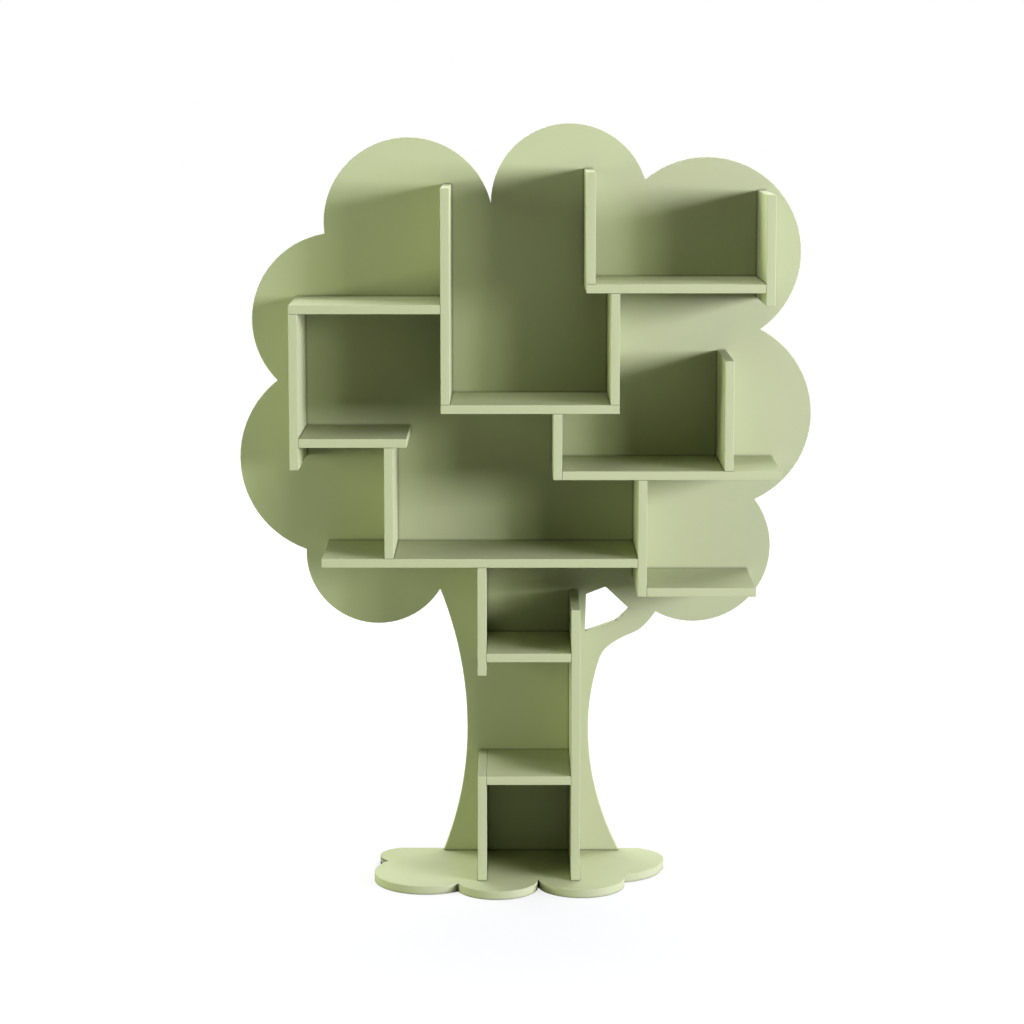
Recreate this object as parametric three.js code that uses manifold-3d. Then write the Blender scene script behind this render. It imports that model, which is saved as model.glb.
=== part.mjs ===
// Tree shaped bookshelf in painted board, millimetres, +Z up, front towards -Y.
// A lobed back panel stands on a scalloped base plate and carries a maze of shelves and uprights.
// Boards meet end to face with two glued dowels; screws come through the panel and the base plate.
import * as THREE from "three";
import { mergeVertices } from "three/addons/utils/BufferGeometryUtils.js";
import Module from "manifold-3d";

const wasm = await Module();
wasm.setup();

// Sheet material and fits
const boardThickness = 18;
const panelThickness = 18;
const baseThickness = 18;
const seam = 0.3;
const overrun = 2;
const weldDistance = 0.001;

// Depths, measured forwards from the front face of the back panel
const shelfDepth = 220;
const baseFrontReach = 72;

// Trunk bays, from the base plate up
const trunkBayWidth = 174;
const lowerTrunkBay = 203;
const middleTrunkBay = 239;
const upperTrunkBay = 178;
const postRise = 90;
const hangerDrop = 28;

// Shelves of the canopy, widths from left to right and heights from the long shelf up
const longShelfLeftReach = 316.5;
const longShelfRightReach = 116.5;
const longShelfLeftOverhang = 128;
const lowLeftBay = 228;
const midLeftLength = 219;
const midLeftOverhang = 28;
const farLeftDrop = 46;
const upperLeftRise = 184;
const lowRightBay = 162;
const midRightLength = 445;
const midRightLeftOverhang = 154.5;
const midRightRightOverhang = 98.5;
const lowRightLength = 223;
const lowRightDrop = 60;
const centreLength = 361;
const centreRise = 117;
const centreRightReach = 115.5;
const centreLeftHeight = 436;
const centreRightHeight = 226;
const crownHeight = 224;
const midRightHeight = 224;
const upperRightLength = 361;
const upperRightLeftOverhang = 49.5;
const upperRightDrop = 26;
const upperRightRise = 179;

// How far the canopy of the back panel stands out beyond the shelves
const canopyLeftMargin = 122;
const canopyRightMargin = 81.5;
const canopyTopMargin = 93;
const canopyBottomMargin = 100;

// Lobes of the canopy, clockwise from the lower left: centre from the canopy's left and
// bottom as shares of its width and height, radius as a share of their mean
const canopyLobeShares = [
  { across: 0.2413, up: 0.1442, radius: 0.1349 },
  { across: 0.1725, up: 0.3363, radius: 0.1837 },
  { across: 0.175, up: 0.6129, radius: 0.1615 },
  { across: 0.2966, up: 0.8054, radius: 0.1565 },
  { across: 0.5766, up: 0.8445, radius: 0.1455 },
  { across: 0.8146, up: 0.7467, radius: 0.1752 },
  { across: 0.8333, up: 0.425, radius: 0.1775 },
  { across: 0.7958, up: 0.1584, radius: 0.1441 },
];

// Trunk outline of the back panel: a waist, flares down to the foot and up to the canopy
const waistHeight = 270;
const waistLeftMargin = 24.5;
const waistRightMargin = 22.5;
const footLeftFlare = 51;
const footRightFlare = 66.5;
const shoulderRise = 306;
const shoulderFlare = 59.5;
const armRise = 152;
const armFlare = 24.5;

// Branch on the right of the trunk, and the opening between branch and trunk
const elbowReach = 72.5;
const elbowRise = 54.5;
const elbowPullShares = { across: 0.14, up: 0.55 };
const crookReach = 46;
const crookRise = 46;
const crookPullShares = { across: 0.47, up: 0.19 };
const branchHoleWidth = 93;
const branchHoleHeight = 96.5;
const branchHoleGap = 15.5;
const branchHoleRise = 1.5;
const branchHoleCorner = 3;
const branchHoleShares = [
  { across: 0, up: 0 },
  { across: 0.7, up: 0.238 },
  { across: 1, up: 0.512 },
  { across: 0.462, up: 1 },
  { across: 0.02, up: 0.834 },
];

// Base plate: reach beyond the trunk posts, and its lobes as shares of width and depth,
// clockwise from the rear left as seen from above, radius as a share of their mean
const baseLeftReach = 216.5;
const baseRightReach = 182;
const baseLobeShares = [
  { across: 0.0981, forward: 0.1709, radius: 0.1154 },
  { across: 0.1808, forward: 0.5323, radius: 0.2395 },
  { across: 0.4212, forward: 0.7269, radius: 0.1843 },
  { across: 0.7062, forward: 0.6671, radius: 0.1975 },
  { across: 0.8151, forward: 0.2816, radius: 0.233 },
  { across: 0.8784, forward: 0.2397, radius: 0.1611 },
];
const lobeSteps = 36;
const curveSteps = 6;

// Dowels glued into board ends
const dowelRadius = 4;
const dowelReach = 10;
const dowelEndGap = 1;
const dowelInset = 55;
const dowelFit = 0.35;
const dowelSides = 8;

// Countersunk screws
const screwRadius = 2;
const screwLength = 50;
const screwTip = 4;
const screwHeadRadius = 4;
const screwHeadHeight = 2.4;
const screwSink = 0.3;
const screwFit = 0.3;
const driveRadius = 1.5;
const driveDepth = 1.6;
const screwSides = 10;
const panelFootScrewShares = [0.2, 0.8];

// Levels of the shelves: undersides of the horizontal boards
const baseTop = baseThickness;
const trunkLowerZ = baseTop + lowerTrunkBay;
const trunkUpperZ = trunkLowerZ + boardThickness + middleTrunkBay;
const longZ = trunkUpperZ + boardThickness + upperTrunkBay;
const longTop = longZ + boardThickness;
const midLeftZ = longTop + lowLeftBay;
const lowRightZ = longZ - lowRightDrop;
const midRightZ = longTop + lowRightBay;
const midRightTop = midRightZ + boardThickness;
const centreZ = midRightTop + centreRise;
const centreTop = centreZ + boardThickness;
const upperLeftZ = centreTop + upperLeftRise;
const upperRightZ = centreTop + centreRightHeight;
const upperRightTop = upperRightZ + boardThickness;

// Places across, with zero in the middle of the trunk bay: left faces of the uprights
const postLeftX = -trunkBayWidth / 2 - boardThickness;
const postRightX = trunkBayWidth / 2;
const longLeftX = postLeftX - longShelfLeftReach;
const lowRightUprightX = postRightX + boardThickness + longShelfRightReach;
const lowLeftUprightX = longLeftX + longShelfLeftOverhang;
const midLeftEndX = lowLeftUprightX + boardThickness + midLeftOverhang;
const farLeftX = midLeftEndX - midLeftLength - boardThickness;
const midRightX = lowRightUprightX - midRightLeftOverhang;
const midRightEndX = midRightX + midRightLength;
const midRightUprightX = midRightEndX - midRightRightOverhang - boardThickness;
const centreHangerX = midRightX - boardThickness;
const centreEndX = midRightX + centreRightReach;
const centreX = centreEndX - centreLength;
const centreRightX = centreEndX - boardThickness;
const upperRightX = centreRightX - upperRightLeftOverhang;
const upperRightEndX = upperRightX + upperRightLength;

// Boards by name: spans across and up; the screws are counted from the back
const boards = new Map();

function upright(name, left, bottom, top, screws) {
  boards.set(name, { name, left, right: left + boardThickness, bottom, top, screws, standing: true });
}

function shelf(name, left, right, bottom, screws) {
  boards.set(name, { name, left, right, bottom, top: bottom + boardThickness, screws, standing: false });
}

shelf("trunk_shelf_lower", postLeftX + boardThickness, postRightX, trunkLowerZ, 1);
shelf("trunk_shelf_upper", postLeftX + boardThickness, postRightX, trunkUpperZ, 1);
shelf("shelf_long", longLeftX, lowRightUprightX, longZ, 2);
shelf("shelf_mid_left", farLeftX + boardThickness, midLeftEndX, midLeftZ, 2);
shelf("shelf_low_right", lowRightUprightX + boardThickness, lowRightUprightX + boardThickness + lowRightLength,
  lowRightZ, 2);
shelf("shelf_mid_right", midRightX, midRightEndX, midRightZ, 2);
shelf("shelf_centre", centreX, centreEndX, centreZ, 2);
shelf("shelf_upper_left", farLeftX, centreX, upperLeftZ, 2);
shelf("shelf_upper_right", upperRightX, upperRightEndX, upperRightZ, 2);

upright("trunk_post_lower_left", postLeftX, baseTop, trunkLowerZ + boardThickness, 1);
upright("trunk_post_right", postRightX, baseTop, trunkUpperZ + boardThickness + postRise, 2);
upright("trunk_post_upper_left", postLeftX, trunkUpperZ - hangerDrop, longZ, 1);
upright("upright_low_left", lowLeftUprightX, longTop, midLeftZ, 1);
upright("upright_far_left", farLeftX, midLeftZ - farLeftDrop, upperLeftZ, 2);
upright("upright_low_right", lowRightUprightX, lowRightZ, midRightZ, 1);
upright("upright_centre_hanger", centreHangerX, midRightZ, centreZ, 1);
upright("upright_mid_right", midRightUprightX, midRightTop, midRightTop + midRightHeight, 1);
upright("upright_centre_left", centreX, centreTop, centreTop + centreLeftHeight, 2);
upright("upright_centre_right", centreRightX, centreTop, upperRightZ, 1);
upright("upright_crown", upperRightX, upperRightTop, upperRightTop + crownHeight, 1);
upright("upright_upper_right", upperRightEndX, upperRightZ - upperRightDrop, upperRightTop + upperRightRise, 1);

// Which end of which board meets the face of which other board
const butts = [
  ["trunk_shelf_lower", "left", "trunk_post_lower_left"],
  ["trunk_shelf_lower", "right", "trunk_post_right"],
  ["trunk_shelf_upper", "left", "trunk_post_upper_left"],
  ["trunk_shelf_upper", "right", "trunk_post_right"],
  ["trunk_post_upper_left", "top", "shelf_long"],
  ["shelf_long", "right", "upright_low_right"],
  ["upright_low_left", "bottom", "shelf_long"],
  ["upright_low_left", "top", "shelf_mid_left"],
  ["shelf_mid_left", "left", "upright_far_left"],
  ["upright_far_left", "top", "shelf_upper_left"],
  ["shelf_upper_left", "right", "upright_centre_left"],
  ["upright_centre_left", "bottom", "shelf_centre"],
  ["upright_centre_right", "bottom", "shelf_centre"],
  ["upright_centre_right", "top", "shelf_upper_right"],
  ["upright_centre_hanger", "top", "shelf_centre"],
  ["shelf_mid_right", "left", "upright_centre_hanger"],
  ["upright_mid_right", "bottom", "shelf_mid_right"],
  ["upright_low_right", "top", "shelf_mid_right"],
  ["shelf_low_right", "left", "upright_low_right"],
  ["upright_crown", "bottom", "shelf_upper_right"],
  ["shelf_upper_right", "right", "upright_upper_right"],
];

// Edges of the canopy and of the base plate
const canopyLeft = farLeftX - canopyLeftMargin;
const canopyRight = midRightEndX + canopyRightMargin;
const canopyBottom = lowRightZ - canopyBottomMargin;
const canopyTop = upperRightTop + crownHeight + canopyTopMargin;
const canopyWidth = canopyRight - canopyLeft;
const canopyHeight = canopyTop - canopyBottom;
const waistLeftX = postLeftX - waistLeftMargin;
const waistRightX = postRightX + boardThickness + waistRightMargin;
const waistZ = baseTop + waistHeight;
const armX = waistRightX + armFlare;
const armZ = waistZ + armRise;
const elbowX = armX + elbowReach;
const elbowZ = armZ + elbowRise;
const baseLeft = postLeftX - baseLeftReach;
const baseWidth = postRightX + boardThickness + baseRightReach - baseLeft;
const baseDepth = panelThickness + shelfDepth + baseFrontReach;

// A closed geometry as a solid for joining and cutting, and back again
function toSolid(geometry) {
  const loose = geometry.index ? geometry.toNonIndexed() : geometry.clone();
  loose.deleteAttribute("normal");
  loose.deleteAttribute("uv");
  const merged = mergeVertices(loose, weldDistance);
  const vertProperties = merged.attributes.position.array;
  const triVerts = new Uint32Array(merged.index.array);
  return new wasm.Manifold(new wasm.Mesh({ numProp: 3, vertProperties, triVerts }));
}

function toGeometry(solid) {
  const mesh = solid.getMesh();
  const geometry = new THREE.BufferGeometry();
  geometry.setAttribute("position", new THREE.BufferAttribute(new Float32Array(mesh.vertProperties), 3));
  geometry.setIndex(new THREE.BufferAttribute(new Uint32Array(mesh.triVerts), 1));
  const faceted = geometry.toNonIndexed();
  faceted.computeVertexNormals();
  return faceted;
}

function joined(solid, added, removed) {
  const whole = added.reduce((sum, geometry) => sum.add(toSolid(geometry)), solid);
  return removed.reduce((rest, geometry) => rest.subtract(toSolid(geometry)), whole);
}

// A sheet with its outline in XY and its thickness along Z
function sheet(shape, thickness, steps) {
  return new THREE.ExtrudeGeometry(shape, { depth: thickness, bevelEnabled: false, curveSegments: steps });
}

// A cloud of overlapping round lobes with the space between their centres filled
function cloud(lobes, thickness, fill) {
  const discs = lobes.map(({ x, y, radius }) => {
    const circle = new THREE.Shape().absarc(x, y, radius, 0, 2 * Math.PI);
    return sheet(circle, thickness, lobeSteps);
  });
  return joined(toSolid(sheet(fill, thickness, 1)), discs, []);
}

// A polygon whose corners are rounded off
function roundedPolygon(corners, radius) {
  const shape = new THREE.Shape();
  corners.forEach((corner, i) => {
    const before = corners[(i + corners.length - 1) % corners.length];
    const after = corners[(i + 1) % corners.length];
    const start = corner.clone().add(before.clone().sub(corner).setLength(radius));
    const end = corner.clone().add(after.clone().sub(corner).setLength(radius));
    if (i === 0) {
      shape.moveTo(start.x, start.y);
    } else {
      shape.lineTo(start.x, start.y);
    }
    shape.quadraticCurveTo(corner.x, corner.y, end.x, end.y);
  });
  shape.closePath();
  return shape;
}

// Radius and sweep of the arc that starts upright and stands off by a flare after a rise
function flareArc(rise, flare) {
  const radius = (rise * rise + flare * flare) / (2 * flare);
  return { radius, sweep: Math.asin(rise / radius) };
}

// A dowel or its hole along +Y, from the origin
function dowelRod(radius, length) {
  return new THREE.CylinderGeometry(radius, radius, length, dowelSides).translate(0, length / 2, 0);
}

// A screw along Y with its tip at the origin and its head at the top
function screwGeometry() {
  const profile = [
    new THREE.Vector2(0, 0),
    new THREE.Vector2(screwRadius, screwTip),
    new THREE.Vector2(screwRadius, screwLength - screwHeadHeight),
    new THREE.Vector2(screwHeadRadius, screwLength),
    new THREE.Vector2(driveRadius, screwLength),
    new THREE.Vector2(0, screwLength - driveDepth),
  ];
  return new THREE.LatheGeometry(profile, screwSides);
}

// The drilled and countersunk hole that a screw leaves room in
function screwHole() {
  const wide = screwHeadRadius + screwFit;
  const narrow = screwRadius + screwFit;
  const profile = [
    new THREE.Vector2(0, -screwFit),
    new THREE.Vector2(narrow, -screwFit),
    new THREE.Vector2(narrow, screwLength - screwHeadHeight),
    new THREE.Vector2(wide, screwLength),
    new THREE.Vector2(wide, screwLength + overrun),
    new THREE.Vector2(0, screwLength + overrun),
  ];
  return new THREE.LatheGeometry(profile, screwSides);
}

// Turns and moves a geometry made along +Y so that it runs along a direction from a point
function aimed(geometry, direction, x, y, z) {
  const turn = new THREE.Quaternion().setFromUnitVectors(new THREE.Vector3(0, 1, 0), direction);
  return geometry.applyQuaternion(turn).translate(x, y, z);
}

function paint() {
  return new THREE.MeshStandardMaterial({ color: 0xa8ad86, roughness: 0.42, metalness: 0 });
}

function zinc() {
  return new THREE.MeshStandardMaterial({ color: 0xb9bcbe, roughness: 0.35, metalness: 1 });
}

function named(name, geometry, material) {
  const mesh = new THREE.Mesh(geometry, material);
  mesh.name = name;
  return mesh;
}

const bookshelf = new THREE.Group();
const carcass = new THREE.Group();
const shelving = new THREE.Group();
const screws = new THREE.Group();
bookshelf.add(carcass, shelving, screws);

const forwards = new THREE.Vector3(0, -1, 0);
const outwards = {
  left: new THREE.Vector3(-1, 0, 0),
  right: new THREE.Vector3(1, 0, 0),
  bottom: new THREE.Vector3(0, 0, -1),
  top: new THREE.Vector3(0, 0, 1),
};
const dowelPlaces = [-shelfDepth + dowelInset, -dowelInset];

for (const piece of boards.values()) {
  piece.trim = { left: 0, right: 0, bottom: 0, top: 0 };
  piece.rods = [];
  piece.holes = [];
}

// Two dowels stand out of the end of one board and enter the face of the other
for (const [endName, side, faceName] of butts) {
  const end = boards.get(endName);
  const face = boards.get(faceName);
  const direction = outwards[side];
  const x = end.standing ? (end.left + end.right) / 2 : end[side];
  const z = end.standing ? end[side] : (end.bottom + end.top) / 2;
  end.trim[side] = seam;
  for (const y of dowelPlaces) {
    const rod = dowelRod(dowelRadius, 2 * dowelReach).translate(0, -dowelReach, 0);
    const hole = dowelRod(dowelRadius + dowelFit, dowelReach + dowelEndGap + overrun).translate(0, -overrun, 0);
    end.rods.push(aimed(rod, direction, x, y, z));
    face.holes.push(aimed(hole, direction, x, y, z));
  }
}

// The posts on the base plate stand clear of it by the seam
for (const name of ["trunk_post_lower_left", "trunk_post_right"]) {
  boards.get(name).trim.bottom = seam;
}

const panelHoles = [];
const baseHoles = [];

function addScrew(name, direction, x, y, z, holeLists) {
  const tip = new THREE.Vector3(x, y, z).addScaledVector(direction, screwLength + screwSink);
  const away = direction.clone().negate();
  const screw = named(name, screwGeometry(), zinc());
  screw.quaternion.setFromUnitVectors(new THREE.Vector3(0, 1, 0), away);
  screw.position.copy(tip);
  screws.add(screw);
  holeLists.forEach((list) => list.push(aimed(screwHole(), away, tip.x, tip.y, tip.z)));
}

// Back screws, spread evenly along each board
for (const piece of boards.values()) {
  for (let i = 0; i < piece.screws; i += 1) {
    const along = (i + 1 / 2) / piece.screws;
    const middleX = (piece.left + piece.right) / 2;
    const middleZ = (piece.bottom + piece.top) / 2;
    const x = piece.standing ? middleX : THREE.MathUtils.lerp(piece.left, piece.right, along);
    const z = piece.standing ? THREE.MathUtils.lerp(piece.bottom, piece.top, along) : middleZ;
    addScrew(`screw_${piece.name}_${i + 1}`, forwards, x, panelThickness, z, [panelHoles, piece.holes]);
  }
}

// Base screws, up into the posts and the foot of the panel
const footLeftX = waistLeftX - footLeftFlare;
const footRightX = waistRightX + footRightFlare;
for (const name of ["trunk_post_lower_left", "trunk_post_right"]) {
  const post = boards.get(name);
  dowelPlaces.forEach((y, i) => {
    const x = (post.left + post.right) / 2;
    addScrew(`screw_base_${name}_${i + 1}`, outwards.top, x, y, 0, [baseHoles, post.holes]);
  });
}
panelFootScrewShares.forEach((share, i) => {
  const x = THREE.MathUtils.lerp(footLeftX, footRightX, share);
  addScrew(`screw_base_back_panel_${i + 1}`, outwards.top, x, panelThickness / 2, 0, [baseHoles, panelHoles]);
});

// Shelves and uprights, each in its own place with its own dowels and holes
for (const piece of boards.values()) {
  const left = piece.left + piece.trim.left;
  const right = piece.right - piece.trim.right;
  const bottom = piece.bottom + piece.trim.bottom;
  const top = piece.top - piece.trim.top;
  const depth = shelfDepth - seam;
  const place = new THREE.Vector3(left, -shelfDepth, bottom);
  const plain = new THREE.BoxGeometry(right - left, depth, top - bottom)
    .translate((right - left) / 2, depth / 2, (top - bottom) / 2);
  const moved = (geometry) => geometry.translate(-place.x, -place.y, -place.z);
  const solid = joined(toSolid(plain), piece.rods.map(moved), piece.holes.map(moved));
  const mesh = named(piece.name, toGeometry(solid), paint());
  mesh.position.copy(place);
  shelving.add(mesh);
}

// Outline of the trunk, from the foot up the left side, across the canopy and down the right
function trunkOutline(lobeLeft, lobeRight) {
  const footRise = waistHeight - seam;
  const leftFoot = flareArc(footRise, footLeftFlare);
  const leftShoulder = flareArc(shoulderRise, shoulderFlare);
  const rightArm = flareArc(armRise, armFlare);
  const rightFoot = flareArc(footRise, footRightFlare);
  const shape = new THREE.Shape();
  shape.absarc(waistLeftX - leftFoot.radius, waistZ, leftFoot.radius, -leftFoot.sweep, 0);
  shape.absarc(waistLeftX - leftShoulder.radius, waistZ, leftShoulder.radius, 0, leftShoulder.sweep);
  shape.lineTo(lobeLeft.x, lobeLeft.y);
  shape.lineTo((canopyLeft + canopyRight) / 2, (canopyBottom + canopyTop) / 2);
  shape.lineTo(lobeRight.x, lobeRight.y);
  shape.lineTo(elbowX + crookReach, elbowZ + crookRise);
  shape.quadraticCurveTo(
    elbowX + crookPullShares.across * crookReach,
    elbowZ + crookPullShares.up * crookRise,
    elbowX,
    elbowZ,
  );
  shape.quadraticCurveTo(
    armX + elbowPullShares.across * elbowReach,
    armZ + elbowPullShares.up * elbowRise,
    armX,
    armZ,
  );
  shape.absarc(waistRightX + rightArm.radius, waistZ, rightArm.radius, Math.PI - rightArm.sweep, Math.PI);
  shape.absarc(waistRightX + rightFoot.radius, waistZ, rightFoot.radius, Math.PI, Math.PI + rightFoot.sweep);
  return shape;
}

// Outline of the opening between trunk and branch
function branchHoleOutline() {
  const left = postRightX + boardThickness + branchHoleGap;
  const bottom = elbowZ + branchHoleRise;
  const corners = branchHoleShares.map(
    ({ across, up }) => new THREE.Vector2(left + across * branchHoleWidth, bottom + up * branchHoleHeight),
  );
  return roundedPolygon(corners, branchHoleCorner);
}

// Back panel: drawn in XY with its height along Y, stood up with its front face at zero, then drilled
function backPanel() {
  const meanSpan = (canopyWidth + canopyHeight) / 2;
  const lobes = canopyLobeShares.map((share) => ({
    x: canopyLeft + share.across * canopyWidth,
    y: canopyBottom + share.up * canopyHeight,
    radius: share.radius * meanSpan,
  }));
  const fill = new THREE.Shape(lobes.map(({ x, y }) => new THREE.Vector2(x, y)));
  const canopy = cloud(lobes, panelThickness, fill);
  const trunk = sheet(trunkOutline(lobes[0], lobes[lobes.length - 1]), panelThickness, curveSteps);
  const hole = sheet(branchHoleOutline(), panelThickness + 2 * overrun, curveSteps).translate(0, 0, -overrun);
  const lying = toGeometry(joined(canopy, [trunk], [hole]));
  const standing = lying.rotateX(Math.PI / 2).translate(0, panelThickness, 0);
  return joined(toSolid(standing), [], panelHoles);
}

// Base plate: lobes round a filled middle, cut straight along the rear of the back panel
function basePlate() {
  const meanSpan = (baseWidth + baseDepth) / 2;
  const lobes = baseLobeShares.map((share) => ({
    x: baseLeft + share.across * baseWidth,
    y: panelThickness - share.forward * baseDepth,
    radius: share.radius * meanSpan,
  }));
  const first = lobes[0];
  const last = lobes[lobes.length - 1];
  const corners = lobes.map(({ x, y }) => new THREE.Vector2(x, y));
  corners.push(new THREE.Vector2(last.x, panelThickness), new THREE.Vector2(first.x, panelThickness));
  const plate = cloud(lobes, baseThickness, new THREE.Shape(corners));
  const behind = new THREE.BoxGeometry(2 * baseWidth, baseDepth, baseThickness + 2 * overrun)
    .translate(baseLeft, panelThickness + baseDepth / 2, baseThickness / 2);
  return joined(plate, [], [behind, ...baseHoles]);
}

carcass.add(named("back_panel", toGeometry(backPanel()), paint()));
carcass.add(named("base_plate", toGeometry(basePlate()), paint()));

// The origin is on the floor under the middle of the whole
bookshelf.position.x = -(canopyLeft + canopyRight) / 2;
bookshelf.position.y = (shelfDepth + baseFrontReach - panelThickness) / 2;

export default bookshelf;
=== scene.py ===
import math

import bpy
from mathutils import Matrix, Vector

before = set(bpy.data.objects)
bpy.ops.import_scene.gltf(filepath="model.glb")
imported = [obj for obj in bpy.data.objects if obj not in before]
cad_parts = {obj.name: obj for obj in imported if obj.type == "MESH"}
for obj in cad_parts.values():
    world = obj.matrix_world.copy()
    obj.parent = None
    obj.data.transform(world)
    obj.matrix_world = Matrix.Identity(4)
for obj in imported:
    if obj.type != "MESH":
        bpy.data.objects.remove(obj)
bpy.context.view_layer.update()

# Lengths are in metres, in the frame of the CAD model
MM = 0.001

# The boards' edges: the width that is rounded off, the shortest edge that is, the angle between two
# faces from which an edge is sharp, and the angle up to which they count as one flat face
EDGE_EASE = 0.9 * MM
EDGE_EASE_STEPS = 2
SHORTEST_EASED_EDGE = 6 * MM
SHARP_ANGLE = math.radians(50)
FLAT_ANGLE = math.radians(0.5)
WELD = 0.005 * MM

# Sage paint. Colours are written in sRGB
PAINT = (0.662, 0.682, 0.526)
PAINT_DEEPER = (0.648, 0.671, 0.511)
PAINT_SPECULAR = 0.3
PAINT_ROUGHNESS = 0.6
PAINT_ROUGHNESS_SPREAD = 0.05
CUT_EDGE_ROUGHNESS = 0.06

# Sizes of what makes the paint uneven, and how much of each goes into its colour and its relief
CLOUD_SIZE = 200 * MM
CLOUD_SHARE = 0.5
MOTTLE_SIZE = 11 * MM
MOTTLE_SHARE = 0.3
GLOSS_PATCH_SIZE = 36 * MM
ORANGE_PEEL_SIZE = 2.4 * MM
DUST_SIZE = 0.6 * MM
DUST_SHARE = 0.25
FIBRE_SIZE = 1.4 * MM
PAINT_RELIEF = 0.05 * MM
PAINT_RELIEF_STRENGTH = 0.18

# Painted shade, darkening the paint's colour in the inner corners: how far out of the corner it reaches,
# how open a square corner is, and the share of the paint's colour that is left there and deep in a seam
CORNER_SHADE_REACH = 5 * MM
CORNER_SHADE_RAYS = 6
CORNER_SHADE_OPENNESS = 0.5
CORNER_SHADE_TONE = 0.5
SEAM_SHADE_TONE = 0.15

# Zinc of the screws, with its smoothest and its roughest place
ZINC = (0.74, 0.75, 0.76)
ZINC_ROUGHNESS = (0.28, 0.42)
DRAWING_SIZE = 1.1 * MM
ZINC_GRAIN_SIZE = 0.4 * MM
ZINC_RELIEF = 0.02 * MM
ZINC_RELIEF_STRENGTH = 0.2

# Most of a noise's values lie between these
NOISE_LOW = 0.3
NOISE_HIGH = 0.7

# A surface is a board's face, and not its cut edge, where its normal has this much along the
# board's thickness
FACE_LIMIT = 0.7
WHITE = (1, 1, 1, 1)

# Tints of the lamps, and each lamp as a soft box: degrees to the right of the front, degrees up,
# distance, width and height in metres, power in watts and tint
KEY_TINT = (0.78, 0.76, 1.0)
FRONT_TINT = (0.90, 0.96, 0.83)
LEFT_TINT = (0.93, 1.0, 0.76)
HIGH_TINT = (0.97, 1.0, 1.0)
LAMPS = {
    "key": (62, 6, 8.0, 3.4, 2.0, 1230, KEY_TINT),
    "key_front": (47, 6, 8.0, 1.8, 2.0, 275, FRONT_TINT),
    "left": (-62, 6, 6.0, 2.0, 2.0, 99, LEFT_TINT),
    "left_low": (-74, -6, 6.0, 2.0, 1.0, 219, LEFT_TINT),
    "high_left": (-90, 48, 5.0, 2.5, 2.5, 48, HIGH_TINT),
    "rear_left": (-135, 40, 5.0, 2.5, 2.5, 218, HIGH_TINT),
    "rear_right": (135, 40, 5.0, 2.5, 2.5, 200, HIGH_TINT),
    "rear": (180, 35, 5.0, 4.0, 3.0, 76, HIGH_TINT),
    "top": (0, 80, 5.0, 2.5, 2.5, 76, HIGH_TINT),
}
LAMP_TARGET = Vector((0, 0, 1.2))
ROOM_LIGHT = 0.002

# The floor glows where it is seen, so that it is white but keeps the shadow. The glow grows to a full
# white between two distances from the shelf
FLOOR_REACH = 30.0
FLOOR_TONE = 0.2
FLOOR_GLOW = 0.73
GLOW_FADE_START = 0.5
GLOW_FADE_END = 5.0

# What gloss sees in front of the shelf, against 1 for the white backdrop behind it, and how far to
# either side of the shelf the one blends into the other
STUDIO_GLOW = 0.05
BACKDROP_BLEND = 0.3

# The camera stands in front of the shelf and looks a little down
CAMERA_PLACE = Vector((-0.028, -5.393, 1.668))
CAMERA_PITCH = math.radians(7.19)
CAMERA_LENS = 93.3
CAMERA_SHIFT = -0.1


def linear(colour):
    """A written sRGB colour as linear light, with an alpha of 1."""
    steps = [c / 12.92 if c <= 0.04045 else ((c + 0.055) / 1.055) ** 2.4 for c in colour]
    return (*steps, 1.0)


def grey(tone):
    """A tone of linear light as a colour."""
    return (tone, tone, tone, 1)


def new_material(name):
    """A material without nodes."""
    material = bpy.data.materials.new(name)
    material.use_nodes = True
    material.node_tree.nodes.clear()
    return material


class Nodes:
    """Short names for making and joining the shader nodes of a material or a world."""

    def __init__(self, owner):
        self.tree = owner.node_tree

    def add(self, kind, **inputs):
        """A new node with these inputs, whose names have _ for each space."""
        node = self.tree.nodes.new(kind)
        for name, value in inputs.items():
            node.inputs[name.replace("_", " ")].default_value = value
        return node

    def join(self, source, target):
        self.tree.links.new(source, target)

    def along(self, vector, axis):
        """One coordinate of a vector."""
        split = self.add("ShaderNodeSeparateXYZ")
        self.join(vector, split.inputs["Vector"])
        return split.outputs[axis]

    def math(self, operation, first, second=None):
        """An operation on one value, or on a value and another value or number."""
        node = self.add("ShaderNodeMath")
        node.operation = operation
        self.join(first, node.inputs[0])
        if isinstance(second, (int, float)):
            node.inputs[1].default_value = second
        elif second is not None:
            self.join(second, node.inputs[1])
        return node.outputs[0]

    def ranged(self, value, start, end, low, high, blend="LINEAR"):
        """Goes from low to high while the value goes from start to end, and no further."""
        node = self.add("ShaderNodeMapRange", From_Min=start, From_Max=end, To_Min=low, To_Max=high)
        node.interpolation_type = blend
        self.join(value, node.inputs["Value"])
        return node.outputs["Result"]

    def noise(self, coordinates, size, detail=2.0):
        """Noise with lumps of a size, mostly between NOISE_LOW and NOISE_HIGH."""
        node = self.add("ShaderNodeTexNoise", Scale=1 / size, Detail=detail)
        self.join(coordinates, node.inputs["Vector"])
        return node.outputs["Fac"]

    def bump(self, height, distance, strength):
        """The normal of a surface with this relief."""
        node = self.add("ShaderNodeBump", Distance=distance, Strength=strength)
        self.join(height, node.inputs["Height"])
        return node.outputs["Normal"]

    def output(self, shader, kind="ShaderNodeOutputMaterial"):
        self.join(shader, self.add(kind).inputs["Surface"])


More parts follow.
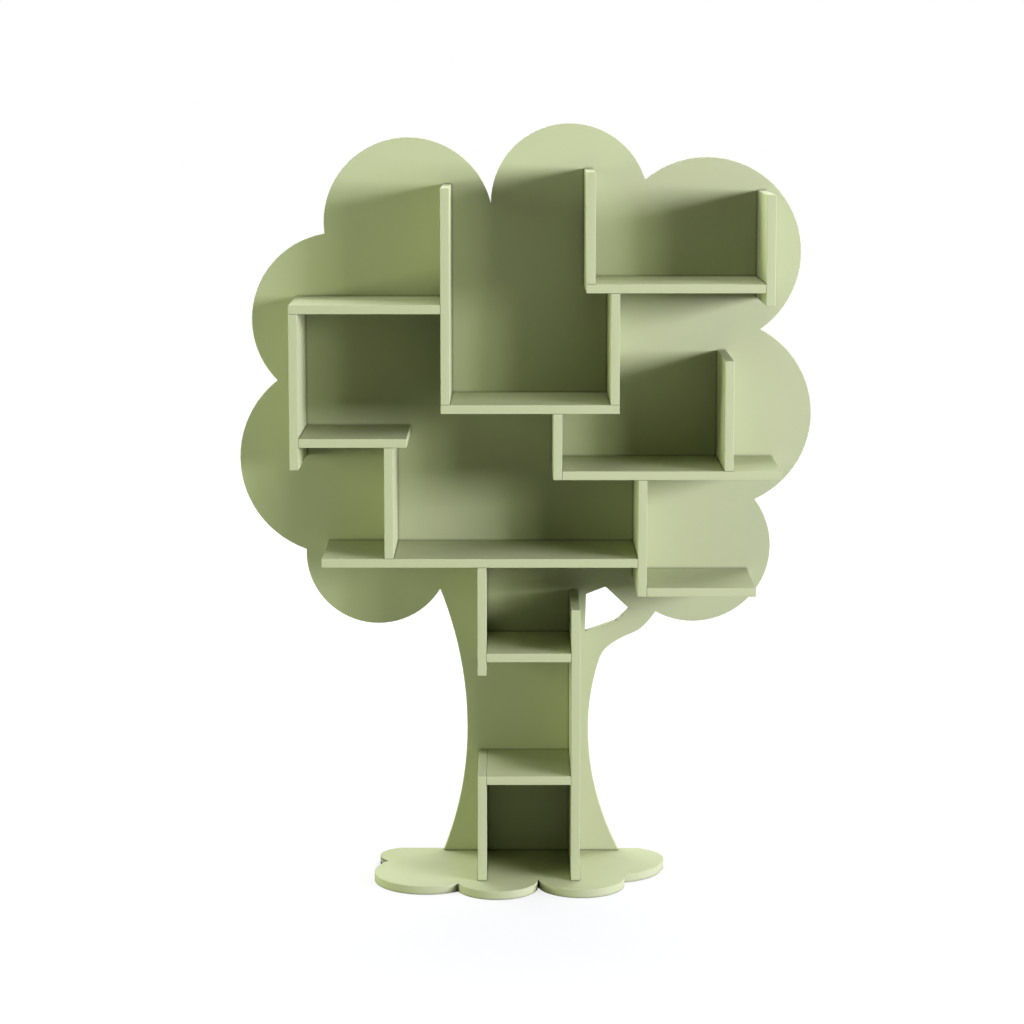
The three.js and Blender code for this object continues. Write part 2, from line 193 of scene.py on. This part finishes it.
def painted_corner_shade(n):
    """Painted shade: one in the open, the corner tone in an inner corner, down to the seam tone deep in
    a seam.
    """
    openness = n.add("ShaderNodeAmbientOcclusion", Distance=CORNER_SHADE_REACH)
    openness.samples = CORNER_SHADE_RAYS
    tone = n.add("ShaderNodeValToRGB")
    n.join(openness.outputs["AO"], tone.inputs["Fac"])
    stops = tone.color_ramp.elements
    stops[0].color = grey(SEAM_SHADE_TONE)
    stops[1].color = WHITE
    middle = stops.new(CORNER_SHADE_OPENNESS)
    middle.color = grey(CORNER_SHADE_TONE)
    return tone.outputs["Color"]


def paint_colour(n, place):
    """Two near tones of sage in clouds and mottling, with painted shade in the inner corners."""
    clouds = n.math("MULTIPLY", n.noise(place, CLOUD_SIZE), CLOUD_SHARE)
    mottling = n.math("MULTIPLY", n.noise(place, MOTTLE_SIZE, detail=3.0), MOTTLE_SHARE)
    tones = n.add("ShaderNodeMix")
    tones.data_type = "RGBA"
    tones.inputs["A"].default_value = linear(PAINT)
    tones.inputs["B"].default_value = linear(PAINT_DEEPER)
    n.join(n.math("ADD", clouds, mottling), tones.inputs["Factor"])

    # Painted shade: the colour is darkened where the inner corners and seams hold shade
    shaded = n.add("ShaderNodeVectorMath")
    shaded.operation = "SCALE"
    n.join(tones.outputs["Result"], shaded.inputs["Vector"])
    n.join(painted_corner_shade(n), shaded.inputs["Scale"])
    return shaded.outputs["Vector"]


def paint_roughness(n, place, cut_edge):
    """Patches of more and less gloss, and duller cut edges."""
    smoothest = PAINT_ROUGHNESS - PAINT_ROUGHNESS_SPREAD
    roughest = PAINT_ROUGHNESS + PAINT_ROUGHNESS_SPREAD
    patches = n.noise(place, GLOSS_PATCH_SIZE, detail=3.0)
    roughness = n.ranged(patches, NOISE_LOW, NOISE_HIGH, smoothest, roughest)
    return n.math("ADD", roughness, n.math("MULTIPLY", cut_edge, CUT_EDGE_ROUGHNESS))


def paint_relief(n, place, cut_edge):
    """Orange peel with some dust in it, and fibres on the cut edges."""
    dust = n.math("MULTIPLY", n.noise(place, DUST_SIZE), DUST_SHARE)
    relief = n.math("ADD", n.noise(place, ORANGE_PEEL_SIZE, detail=1.0), dust)
    fibres = n.math("MULTIPLY", n.noise(place, FIBRE_SIZE, detail=4.0), cut_edge)
    relief = n.math("ADD", relief, fibres)
    return n.bump(relief, PAINT_RELIEF, PAINT_RELIEF_STRENGTH)


def paint_material(name, sheet_axis):
    """Sprayed paint on fibreboard, whose cut edges are what doesn't face along sheet_axis."""
    material = new_material(name)
    n = Nodes(material)
    place = n.add("ShaderNodeTexCoord").outputs["Object"]
    facing = n.along(n.add("ShaderNodeNewGeometry").outputs["True Normal"], sheet_axis)
    cut_edge = n.math("LESS_THAN", n.math("ABSOLUTE", facing), FACE_LIMIT)
    shader = n.add("ShaderNodeBsdfPrincipled", Specular_IOR_Level=PAINT_SPECULAR)
    n.join(paint_colour(n, place), shader.inputs["Base Color"])
    n.join(paint_roughness(n, place, cut_edge), shader.inputs["Roughness"])
    n.join(paint_relief(n, place, cut_edge), shader.inputs["Normal"])
    n.output(shader.outputs["BSDF"])
    return material


def zinc_material():
    """Zinc plated steel with a faint drawn texture."""
    material = new_material("zinc")
    n = Nodes(material)
    place = n.add("ShaderNodeTexCoord").outputs["Object"]
    shader = n.add("ShaderNodeBsdfPrincipled", Metallic=1.0, Base_Color=linear(ZINC))
    drawing = n.noise(place, DRAWING_SIZE, detail=3.0)
    roughness = n.ranged(drawing, NOISE_LOW, NOISE_HIGH, *ZINC_ROUGHNESS)
    n.join(roughness, shader.inputs["Roughness"])
    relief = n.bump(n.noise(place, ZINC_GRAIN_SIZE), ZINC_RELIEF, ZINC_RELIEF_STRENGTH)
    n.join(relief, shader.inputs["Normal"])
    n.output(shader.outputs["BSDF"])
    return material


def above(tree, value, limit):
    """True where a value of the mesh is above a limit."""
    test = tree.nodes.new("FunctionNodeCompare")
    test.data_type = "FLOAT"
    test.operation = "GREATER_THAN"
    test.inputs["B"].default_value = limit
    tree.links.new(value, test.inputs["A"])
    return test.outputs["Result"]


def edge_length(tree):
    """The length of each edge of the mesh."""
    ends = tree.nodes.new("GeometryNodeInputMeshEdgeVertices")
    span = tree.nodes.new("ShaderNodeVectorMath")
    span.operation = "DISTANCE"
    tree.links.new(ends.outputs["Position 1"], span.inputs[0])
    tree.links.new(ends.outputs["Position 2"], span.inputs[1])
    return span.outputs["Value"]


def ease_group():
    """Marks the long convex edges for easing and shades the whole surface smooth."""
    tree = bpy.data.node_groups.new("mark_long_edges", "GeometryNodeTree")
    tree.interface.new_socket("Geometry", in_out="INPUT", socket_type="NodeSocketGeometry")
    tree.interface.new_socket("Geometry", in_out="OUTPUT", socket_type="NodeSocketGeometry")
    add = tree.nodes.new
    join = tree.links.new

    angle = add("GeometryNodeInputMeshEdgeAngle")
    both = add("FunctionNodeBooleanMath")
    join(above(tree, angle.outputs["Signed Angle"], SHARP_ANGLE), both.inputs[0])
    join(above(tree, edge_length(tree), SHORTEST_EASED_EDGE), both.inputs[1])

    weight = add("GeometryNodeStoreNamedAttribute")
    weight.data_type = "FLOAT"
    weight.domain = "EDGE"
    weight.inputs["Name"].default_value = "bevel_weight_edge"
    join(both.outputs["Boolean"], weight.inputs["Value"])
    smooth = add("GeometryNodeSetShadeSmooth")
    join(add("NodeGroupInput").outputs["Geometry"], weight.inputs["Geometry"])
    join(weight.outputs["Geometry"], smooth.inputs["Geometry"])
    join(smooth.outputs["Geometry"], add("NodeGroupOutput").inputs["Geometry"])
    return tree


def ease_edges(part, group):
    """Rounds the board's long edges and keeps its flat faces flat."""
    weld = part.modifiers.new("weld", "WELD")
    weld.merge_threshold = WELD
    flatten = part.modifiers.new("flatten", "DECIMATE")
    flatten.decimate_type = "DISSOLVE"
    flatten.angle_limit = FLAT_ANGLE
    mark = part.modifiers.new("mark", "NODES")
    mark.node_group = group
    bevel = part.modifiers.new("ease", "BEVEL")
    bevel.limit_method = "WEIGHT"
    bevel.width = EDGE_EASE
    bevel.segments = EDGE_EASE_STEPS
    bevel.miter_outer = "MITER_ARC"
    bevel.use_clamp_overlap = False
    bevel.loop_slide = False
    normals = part.modifiers.new("normals", "WEIGHTED_NORMAL")
    normals.keep_sharp = True


def dress_parts():
    """Gives each board the paint for the way it lies, and each screw its zinc."""
    panel_paint = paint_material("paint_panel", "Y")
    level_paint = paint_material("paint_level_boards", "Z")
    upright_paint = paint_material("paint_upright_boards", "X")
    zinc = zinc_material()
    group = ease_group()
    for name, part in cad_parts.items():
        if name.startswith("screw_"):
            material = zinc
        elif name == "back_panel":
            material = panel_paint
        elif name == "base_plate" or "shelf" in name:
            material = level_paint
        else:
            material = upright_paint
        part.data.materials.clear()
        part.data.materials.append(material)
        if material is not zinc:
            ease_edges(part, group)


def area_lamp(name, azimuth, elevation, distance, width, height, power, colour):
    """A lamp that looks at the middle of the canopy from a direction given in degrees."""
    data = bpy.data.lights.new(name, "AREA")
    data.shape = "RECTANGLE"
    data.size = width
    data.size_y = height
    data.energy = power
    data.color = colour
    turn = math.radians(azimuth)
    rise = math.radians(elevation)
    away = Vector((math.sin(turn) * math.cos(rise), -math.cos(turn) * math.cos(rise), math.sin(rise)))
    lamp = bpy.data.objects.new(name, data)
    lamp.location = LAMP_TARGET + away * distance
    lamp.rotation_euler = (-away).to_track_quat("-Z", "Y").to_euler()
    lamp.visible_camera = False
    bpy.context.scene.collection.objects.link(lamp)


def seen_white(n, depth):
    """One for camera and transmission rays and zero for light. Glossy rays see the backdrop behind the
    shelf white and the studio in front of it darker."""
    path = n.add("ShaderNodeLightPath")
    seen = n.math("MAXIMUM", path.outputs["Is Camera Ray"], path.outputs["Is Transmission Ray"])
    backdrop = n.ranged(depth, -BACKDROP_BLEND, BACKDROP_BLEND, STUDIO_GLOW, 1.0, "SMOOTHSTEP")
    glossy = n.math("MULTIPLY", path.outputs["Is Glossy Ray"], backdrop)
    return n.math("MAXIMUM", seen, glossy)


def room():
    """A dim room for light, and a white one for what the camera, gloss and glass see."""
    world = bpy.data.worlds.new("room")
    world.use_nodes = True
    world.node_tree.nodes.clear()
    bpy.context.scene.world = world
    n = Nodes(world)
    depth = n.along(n.add("ShaderNodeTexCoord").outputs["Generated"], "Y")
    dim = n.add("ShaderNodeBackground", Color=WHITE, Strength=ROOM_LIGHT)
    white = n.add("ShaderNodeBackground", Color=WHITE, Strength=1.0)
    mix = n.add("ShaderNodeMixShader")
    n.join(seen_white(n, depth), mix.inputs[0])
    n.join(dim.outputs[0], mix.inputs[1])
    n.join(white.outputs[0], mix.inputs[2])
    n.output(mix.outputs[0], "ShaderNodeOutputWorld")


def floor_material():
    """A matt floor for light and shadow, with a glow for what the camera and gloss see."""
    material = new_material("floor")
    n = Nodes(material)
    place = n.add("ShaderNodeTexCoord").outputs["Object"]
    away = n.add("ShaderNodeVectorMath")
    away.operation = "LENGTH"
    n.join(place, away.inputs[0])
    rise = n.ranged(away.outputs["Value"], GLOW_FADE_START, GLOW_FADE_END, FLOOR_GLOW, 1.0, "SMOOTHSTEP")
    matt = n.add("ShaderNodeBsdfDiffuse", Color=grey(FLOOR_TONE))
    glow = n.add("ShaderNodeEmission", Color=WHITE)
    n.join(n.math("MULTIPLY", seen_white(n, n.along(place, "Y")), rise), glow.inputs["Strength"])
    both = n.add("ShaderNodeAddShader")
    n.join(matt.outputs[0], both.inputs[0])
    n.join(glow.outputs[0], both.inputs[1])
    n.output(both.outputs[0])
    return material


def floor():
    """A wide square floor, with the white room beyond it."""
    mesh = bpy.data.meshes.new("floor")
    corners = [(x * FLOOR_REACH, y * FLOOR_REACH, 0) for x, y in ((-1, -1), (1, -1), (1, 1), (-1, 1))]
    mesh.from_pydata(corners, [], [(0, 1, 2, 3)])
    mesh.materials.append(floor_material())
    ground = bpy.data.objects.new("floor", mesh)
    bpy.context.scene.collection.objects.link(ground)


def camera():
    """The camera, at about the photograph's viewpoint."""
    data = bpy.data.cameras.new("camera")
    data.lens = CAMERA_LENS
    data.shift_y = CAMERA_SHIFT
    eye = bpy.data.objects.new("camera", data)
    eye.location = CAMERA_PLACE
    eye.rotation_euler = (math.pi / 2 - CAMERA_PITCH, 0, 0)
    bpy.context.scene.collection.objects.link(eye)
    bpy.context.scene.camera = eye


dress_parts()
floor()
for name, lamp in LAMPS.items():
    area_lamp(name, *lamp)
room()
camera()
bpy.context.scene.view_settings.view_transform = "Standard"
